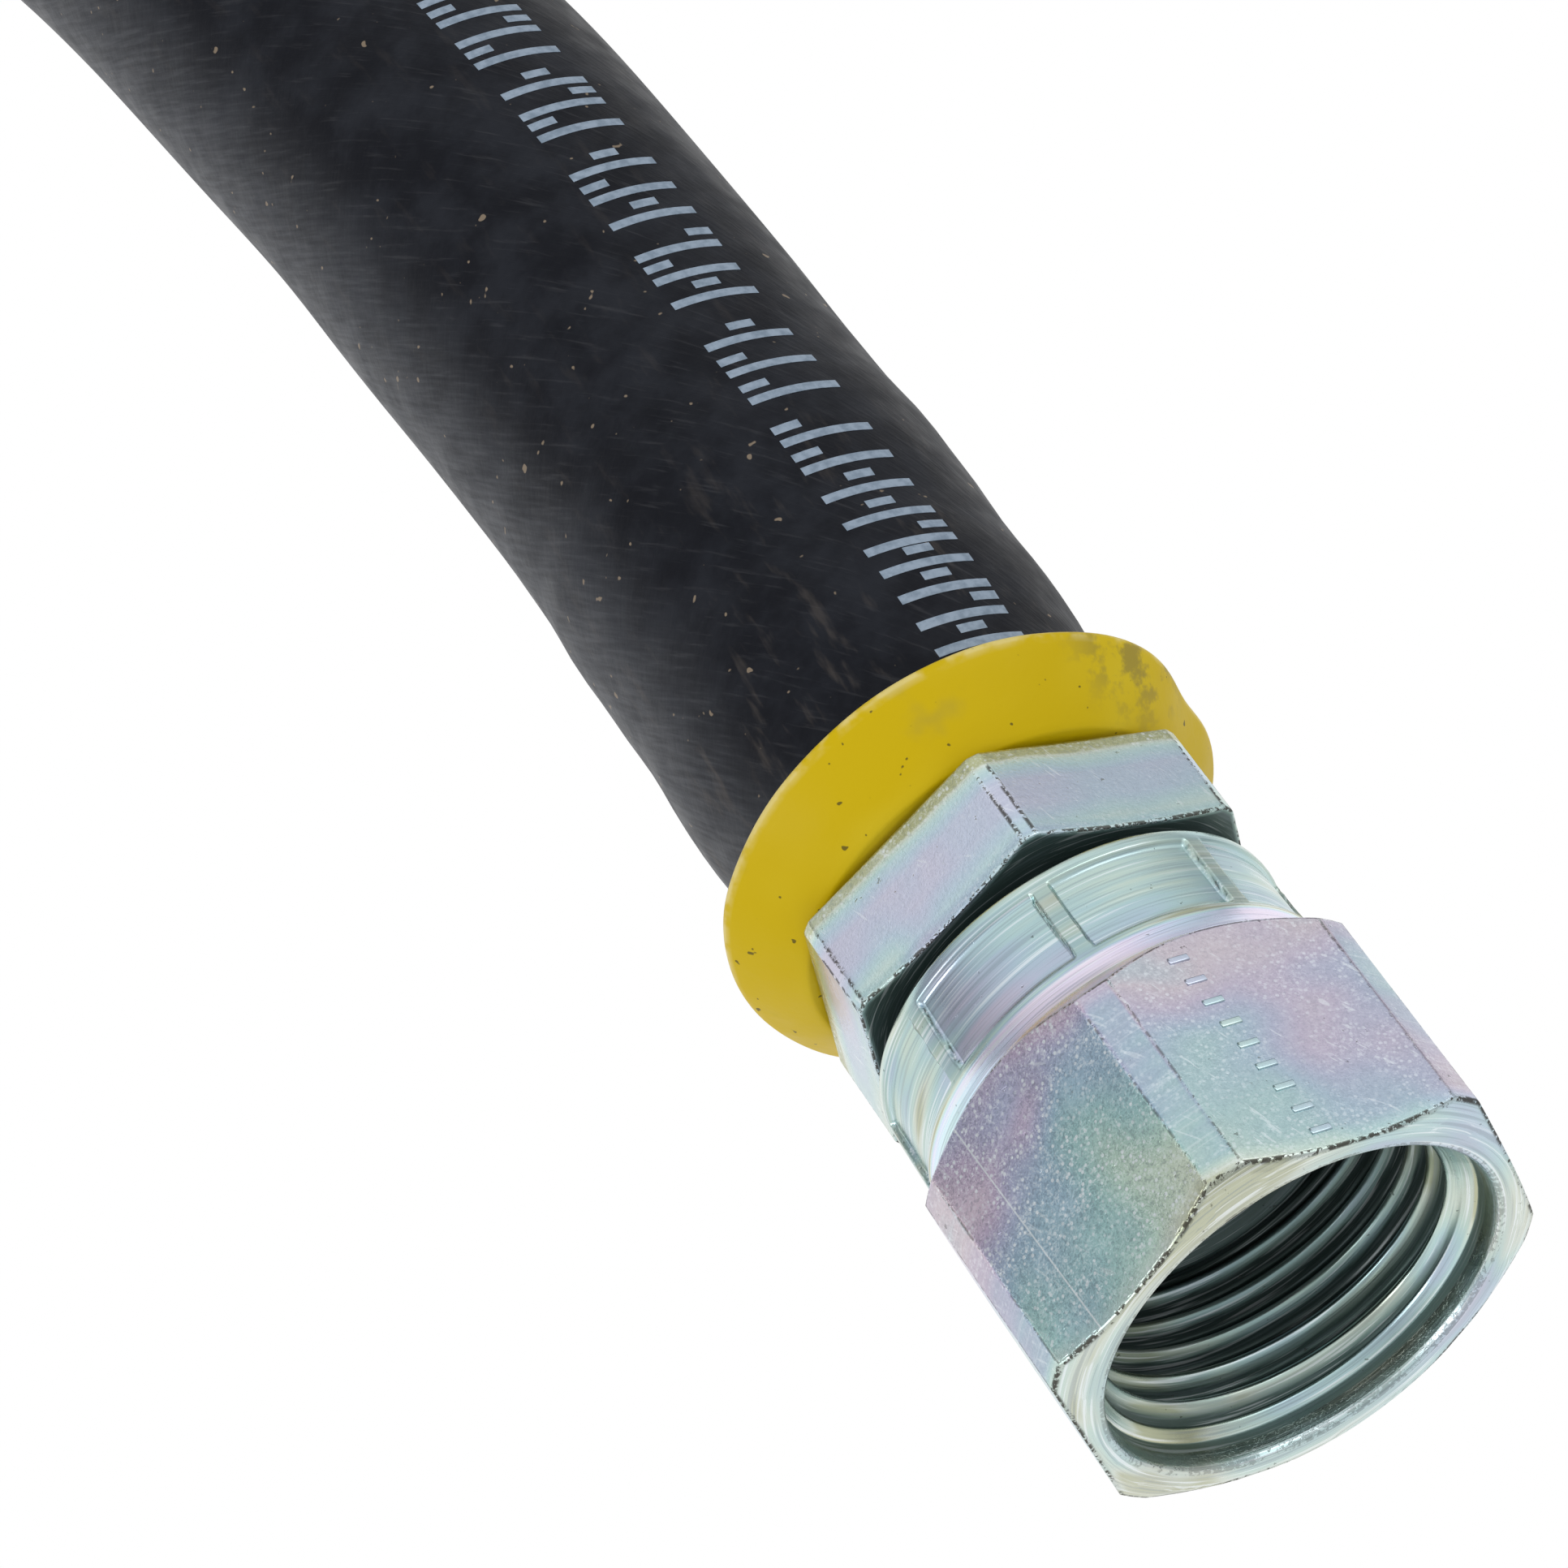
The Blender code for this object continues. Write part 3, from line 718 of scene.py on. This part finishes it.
def stem(side, place, look):
    _, body_turn, _ = TURNS[side]
    angles = np.array(merged_angles(hexagon_angles(body_turn, BODY_STRIP, 0.35)))
    hexagon = hexagon_radius(angles, body_turn, BODY_FLAT_R, BODY_CORNER_R, 0.02)
    from_corner = np.abs(folded(angles - body_turn, 60))
    strip = 0.2 - 0.2 * smooth(from_corner, 1.5, 2.0)
    strip_wear = 0.9 * hump(from_corner, BODY_STRIP, 0.8)
    left = 1 - smooth(np.abs(folded(angles - body_turn + 30, 360)), 28, 29)
    body = Lathe(angles)

    # flared seat, nose and neck inside the nut, all painted in deep shade
    body.rows((12.9, STEM_BORE_R), (SEAT_FACE + 0.1, 7.65), (SEAT_FACE, 7.8), (SEAT_FACE, 8.0), recess=0.95)
    body.rows((SEAT_FACE + 0.1, 8.2), (SEAT_FACE + 0.35, 8.3), (14.3, 8.3), (14.45, 8.25), recess=0.98)
    body.rows((15.6, 7.1), (15.75, NECK_R), (20.8, NECK_R), (BODY_START - 0.05, 7.15),
              (BODY_START, 7.25), (BODY_START, 8.4), recess=0.96)

    # hexagon, with its front corners turned off
    slope = 0.27 / (BODY_CORNER_R - BODY_FLAT_R)
    edge = BODY_START + 0.02 + (hexagon - BODY_FLAT_R) * slope
    # painted shade on the front chamfer, where it faces the gap to the nut
    for inward, wear, recess in ((0.30, 0.0, 0.93), (0.16, 0.3, 0.8), (0.05, 1.0, 0.2)):
        r = np.maximum(hexagon - inward, 9.3 + 0.3 * (0.3 - inward))
        body.row(BODY_START + 0.02 + np.maximum(r - BODY_FLAT_R, 0) * slope, r, 1.0, wear, recess, 0.3)
    body.row(edge + 0.04, hexagon - 0.006, 0.3, 1.0, film=0.3)
    body.row(edge + 0.14, hexagon, strip, np.maximum(0.7, strip_wear), film=0.28)
    body.row(edge + 0.28, hexagon, strip, strip_wear, film=0.32)
    # painted light: the left flat is coloured lighter
    for share, film in ((0.1, 0.22), (0.35, 0.42), (0.65, 0.46), (0.84, 0.20)):
        body.row(edge + 0.2 + share * (26.5 - edge), hexagon, strip, strip_wear,
                 film=film, grain=0.2, tone=1 + 0.13 * left)
    body.rows((BODY_END - 0.55, hexagon), (BODY_END - 0.2, hexagon),
              turned=strip, wear=0.2, film=-0.12, grain=0.7)
    body.row(BODY_END - 0.06, hexagon - 0.01, strip, 0.3, film=-0.05)
    body.row(BODY_END, hexagon - 0.07)
    body.rows((BODY_END, 9.3), (BODY_END, 7.3), (BODY_END + 0.1, NECK_R), (29.1, NECK_R), (29.2, 6.95))

    # barbs
    for barb in range(BARB_COUNT):
        start = BARB_START + BARB_PITCH * barb
        body.rows((start - 0.15, 6.35), (start, 6.3), (start + 0.45, 7.02), (start + 0.55, 7.1))
        body.rows((start + 0.85, 7.1), (start + 1.0, 7.0), (start + 3.2, 6.7))
    body.rows((52.6, 5.95), (52.95, 5.75), (53.0, 5.5), (53.0, 4.9), (52.9, STEM_BORE_R))
    return body.build(side + "_stem_detail", place, look)


# ---------------------------------------------------------------- the cap ring


def dent(angles, middle, width):
    return hump(folded(angles - middle, 360), 0, width)


def ring(side, place, look):
    """A soft cone with a crisp, slightly wavy rim that leans a little on the hose."""
    angles = np.arange(0, 360, 2.0)
    wave = np.radians(angles)
    start = 0.0 if side == "near" else 155.0
    rim = 12.62 + 0.16 * dent(angles, start + 33, 20) - 0.50 * dent(angles, start + 66, 11)
    rim = rim + 0.14 * dent(angles, start + 95, 22) - 0.12 * dent(angles, start - 112, 14)
    rim = rim + 0.12 * dent(angles, start - 78, 14)
    rim = rim + 0.025 * np.sin(7 * wave + 2.0) + 0.02 * np.sin(12 * wave)
    # the rim's plane leans back at the top and forward on the right
    lean = 12.7 * (0.068 * np.cos(wave) - 0.035 * np.sin(wave))
    lean = lean + 0.08 * np.sin(3 * wave + 2.0)
    front = BODY_END + 0.3
    body = Lathe(angles)
    body.rows((front + 0.05, 7.45), (front, 7.6), (front, 9.0), (front, 10.0), turned=0.0)
    for share in (0.04, 0.12, 0.3, 0.5, 0.7, 0.86, 0.95):
        along = 2.75 * share - 0.16 * math.sin(math.pi * share)
        body.row(front + along + lean * share ** 1.3, 10.1 + share * (rim - 10.1), 0.0)
    for s, inward, wear in ((2.80, 0.03, 0.5), (2.90, 0.0, 1.0), (3.05, 0.0, 1.0), (3.18, 0.06, 1.0)):
        body.row(front + s + lean, rim - inward, 0.0, wear)
    body.row(front + 3.22 + lean, rim - 0.22, 0.0, 0.4)
    body.row(31.0 + lean * 0.6, 11.6, 0.0)
    body.rows((31.05, 11.0), (30.95, 10.85), (28.95, 10.8), (28.9, 10.7), (28.9, 7.6),
              (28.8, 7.45), turned=0.0)
    return body.build(side + "_ring_detail", place, look)


# ---------------------------------------------------------------- the hose


def hose_radius(distance, line, lumps):
    """Outer radius of the cover, in millimetres: swollen over the barbs at each end."""
    from_end = np.minimum(distance, line.length - distance) / MM
    swell = 1 - smooth(from_end, 22, 34)
    waist = 0.28 * hump(from_end, 5.5, 3.5)
    bulge = 0.10 * hump(from_end, 21.5, 3.0)
    barbs = 0.03 * np.cos(math.tau * (from_end - 1.0) / BARB_PITCH) * swell
    return HOSE_R + (HOSE_SWOLLEN_R - HOSE_R) * swell - waist * swell + bulge + barbs + lumps


def tube_wall(line, distances, radius_at, count):
    centres, side, rise = line.frames(distances)
    turn = np.linspace(-math.pi, math.pi, count, endpoint=False)
    outward = side[:, None, :] * np.sin(turn)[None, :, None] + rise[:, None, :] * np.cos(turn)[None, :, None]
    radius = radius_at(np.array(distances)[:, None], turn[None, :])
    points = centres[:, None, :] + outward * (radius * MM)[..., None]
    arc = turn[None, :] * radius * MM
    along = np.array(distances)[:, None] * np.ones_like(arc)
    return points, np.stack([along, arc, radius * MM], -1)


def hose_lumps(along, turn):
    """Slow unevenness of the hand-wrapped cover, in millimetres."""
    d = along / MM
    waves = (
        0.035 * np.sin(d / 6.1 + 2 * turn)
        + 0.030 * np.sin(d / 9.7 - turn + 1.3)
        + 0.020 * np.sin(d / 3.3 + 3 * turn + 0.4)
    )
    near_end = 0.20 * hump(d, 9, 3) - 0.13 * hump(d, 28, 5) + 0.20 * hump(d, 50, 9)
    sideways = np.sin(turn) * (0.16 * hump(d, 21, 9) + 0.12 * hump(d, 56, 6) + 0.60 * hump(d, 86, 13))
    return waves + near_end + sideways


def hose_cover(line, look):
    count = 96
    outer_at = np.linspace(0, line.length, 400)
    inner_at = np.linspace(0, line.length, 80)

    def outer_radius(along, turn):
        return hose_radius(along, line, hose_lumps(along, turn))

    def inner_radius(along, turn):
        from_end = np.minimum(along, line.length - along) / MM
        return 9.2 + 0.15 * (1 - smooth(from_end, 24, 36)) + 0 * turn

    outer, outer_map = tube_wall(line, outer_at, outer_radius, count)
    inner, inner_map = tube_wall(line, inner_at, inner_radius, count)
    # one closed skin: outside from near to far, then inside back to the start
    loops = np.concatenate([outer, inner[::-1]])
    maps = np.concatenate([outer_map, inner_map[::-1]])
    rows = len(loops)
    index = np.arange(rows * count).reshape(rows, count)
    below, right = np.roll(index, -1, 0), np.roll(index, -1, 1)
    corner = np.roll(below, -1, 1)
    faces = np.stack([index, right, corner, below], -1).reshape(-1, 4).tolist()
    return make_object(
        "hose_cover_detail", loops.reshape(-1, 3), faces, look, {"hose": maps.reshape(-1, 3)}, sharp=60
    )


# Printed line: plain bars in groups, as (start along, number of bars, pitch) in millimetres
PRINT_GROUPS = [
    (4.2, 4, 1.75),
    (11.0, 5, 2.05),
    (22.4, 3, 2.2),
    (30.2, 3, 1.85),
    (36.5, 3, 2.0),
    (43.7, 3, 1.8),
    (50.0, 4, 1.9),
]
PRINT_REPEAT = 58.5
PRINT_LOW, PRINT_HIGH = -0.5, 26.0     # degrees round the hose from its top
PRINT_STROKE = 0.52
PRINT_LIFT = 0.02


def hose_print(line, look):
    """A lay line of plain bars, some of full height and some of half height."""
    vertices, faces = [], []
    choice = np.random.default_rng(7)
    end = line.length / MM - 5
    for repeat in range(int(end / PRINT_REPEAT) + 1):
        for start, count, pitch in PRINT_GROUPS:
            for k in range(count):
                first = repeat * PRINT_REPEAT + start + k * pitch
                low, high = ((0.0, 0.3), (0.7, 1.0), (0.35, 0.65))[choice.integers(3)]
                if first < end:
                    add_bar(line, first, 0.0, 1.0, vertices, faces)
                    add_bar(line, first + 0.95, low, high, vertices, faces)
    return make_object("hose_print", vertices, faces, look)


def add_bar(line, start, low, high, vertices, faces):
    along = np.linspace(start, start + PRINT_STROKE, 3) * MM
    drift = -2.0 * min(start / 47, 1.0)
    first = math.radians(PRINT_LOW + drift + low * (PRINT_HIGH - PRINT_LOW))
    last = math.radians(PRINT_LOW + drift + high * (PRINT_HIGH - PRINT_LOW))
    turn = np.linspace(first, last, max(3, round(10 * (high - low))))
    centres, side, rise = line.frames(along)
    outward = side[:, None, :] * np.sin(turn)[None, :, None] + rise[:, None, :] * np.cos(turn)[None, :, None]
    radius = hose_radius(along[:, None], line, hose_lumps(along[:, None], turn[None, :]))
    base = len(vertices)
    for lift in (PRINT_LIFT, -PRINT_LIFT):
        grid = centres[:, None, :] + outward * ((radius + lift) * MM)[..., None]
        vertices.extend(grid.reshape(-1, 3).tolist())
    rows, count = len(along), len(turn)
    top = base + np.arange(rows * count).reshape(rows, count)
    under = top + rows * count
    for i in range(rows - 1):
        for j in range(count - 1):
            faces.append((top[i, j], top[i, j + 1], top[i + 1, j + 1], top[i + 1, j]))
            faces.append((under[i + 1, j], under[i + 1, j + 1], under[i, j + 1], under[i, j]))
    border = [(0, j) for j in range(count)] + [(i, count - 1) for i in range(1, rows)]
    border += [(rows - 1, j) for j in range(count - 2, -1, -1)] + [(i, 0) for i in range(rows - 2, 0, -1)]
    for here, following in zip(border, border[1:] + border[:1]):
        faces.append((top[following], top[here], under[here], under[following]))


# ---------------------------------------------------------------- struck marks


TICK_COUNT = 9
TICK_FIRST = 12.0              # millimetres from the nut's open face
TICK_PITCH = 1.36


def struck_marks(place, look):
    """A row of plain short ticks raised on the near nut's top flat."""
    lean = math.radians(TURNS["near"][0] + 30)
    outward = np.array((math.sin(lean), 0, math.cos(lean)))
    across = np.array((math.cos(lean), 0, -math.sin(lean)))
    along = np.array((0, 1.0, 0))
    vertices, faces = [], []
    for k in range(TICK_COUNT):
        s = TICK_FIRST - TICK_PITCH * k
        middle = -1.85 + 0.085 * k
        half_length, half_width = 0.50, 0.17
        base = len(vertices)
        for height, grow in ((-0.05, 0.0), (0.045, 0.0), (0.075, -0.06)):
            for a, b in ((-1, -1), (1, -1), (1, 1), (-1, 1)):
                offset = across * (middle + a * (half_length + grow)) + along * (s + b * (half_width + grow))
                point = np.array(place) + (offset + outward * (NUT_FLAT_R + height)) * MM
                vertices.append(tuple(point))
        for layer in (0, 4):
            for i in range(4):
                j = (i + 1) % 4
                faces.append((base + layer + i, base + layer + j, base + layer + 4 + j, base + layer + 4 + i))
        faces.append((base + 3, base + 2, base + 1, base))
        faces.append((base + 8, base + 9, base + 10, base + 11))
    ones = np.ones(len(vertices))
    manner = {"turned": 0.3, "wear": 0.0, "recess": 0.0, "film": 0.5, "grain": 0.2, "tone": 1.0}
    attributes = {key: value * ones for key, value in manner.items()}
    return make_object("near_nut_ticks", vertices, faces, look, attributes)


# ---------------------------------------------------------------- assembly


def build_object():
    zinc, yellow, rubber = zinc_look(), yellow_look(), rubber_look()
    line = HoseLine(ROUTE)
    for side, end in (("near", ROUTE[0]), ("far", ROUTE[-1])):
        place = (end[0], end[1] - HOSE_END * MM, end[2])
        made_nut = nut(side, place, zinc)
        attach(made_nut, side + "_nut")
        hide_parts(side + "_swivel_nut")
        made_stem = stem(side, place, zinc)
        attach(made_stem, "hose_assembly")
        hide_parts(side + "_barbed_stem")
        made_ring = ring(side, place, yellow)
        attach(made_ring, "hose_assembly")
        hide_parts(side + "_cap_ring")
        if side == "far":
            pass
        else:
            ticks = struck_marks(place, zinc)
            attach(ticks, "near_nut")

    cover = hose_cover(line, rubber)
    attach(cover, "hose_assembly")
    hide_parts("hose_cover")
    marks = hose_print(line, ink_look())
    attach(marks, "hose_assembly")
    for node, look in (("hose_inner_tube", tube_look()), ("hose_braid", braid_look())):
        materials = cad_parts[node].data.materials
        materials.clear()
        materials.append(look)


def area_light(name, place, aim, size, power):
    data = bpy.data.lights.new(name, "AREA")
    data.shape = "RECTANGLE"
    data.size, data.size_y = size
    data.energy = power
    lamp = bpy.data.objects.new(name, data)
    lamp.location = place
    lamp.rotation_euler = (Vector(aim) - Vector(place)).to_track_quat("-Z", "Y").to_euler()
    bpy.context.scene.collection.objects.link(lamp)


def studio():
    bpy.ops.mesh.primitive_plane_add(size=6, location=(0, 0, 0))
    floor = bpy.context.object
    floor.name = "studio_floor"
    look = Look("floor_white", roughness=1.0)
    look.set(Base_Color=(0, 0, 0, 1), Specular_IOR_Level=0.0, Emission_Color=(1, 1, 1, 1))
    look.set(Emission_Strength=1.0)
    floor.data.materials.append(look.material)

    # a bright room that is dimmer towards the horizon
    world = bpy.data.worlds.new("soft_white")
    world.use_nodes = True
    tree = world.node_tree
    direction = tree.nodes.new("ShaderNodeTexCoord")
    parts = tree.nodes.new("ShaderNodeSeparateXYZ")
    height = tree.nodes.new("ShaderNodeMapRange")
    height.inputs[1].default_value, height.inputs[3].default_value = HORIZON
    height.inputs[2].default_value, height.inputs[4].default_value = SKY
    tree.links.new(direction.outputs["Generated"], parts.inputs[0])
    tree.links.new(parts.outputs[2], height.inputs[0])
    tree.links.new(height.outputs[0], tree.nodes["Background"].inputs[1])
    tree.nodes["Background"].inputs[0].default_value = (0.96, 0.98, 1.0, 1)
    bpy.context.scene.world = world
    area_light("key", (0.9, -0.2, 2.2), (0, 0, 0), (1.6, 1.6), 10)
    area_light("low_left", (-2.0, -0.4, 0.5), (0, 0, 0), (1.6, 0.8), 12)
    bpy.context.scene.view_settings.view_transform = "Standard"


def camera():
    data = bpy.data.cameras.new("camera")
    data.lens = LENS_MM
    data.sensor_width = SENSOR_MM
    data.clip_start = 0.01
    heading, down = math.radians(VIEW_HEADING), math.radians(VIEW_DOWN)
    forward = Vector((
        math.sin(heading) * math.cos(down),
        math.cos(heading) * math.cos(down),
        -math.sin(down),
    ))
    made = bpy.data.objects.new("camera", data)
    made.location = Vector(AIM) - forward * VIEW_DISTANCE
    made.rotation_euler = forward.to_track_quat("-Z", "Y").to_euler()
    bpy.context.scene.collection.objects.link(made)
    bpy.context.scene.camera = made


camera()
studio()
build_object()
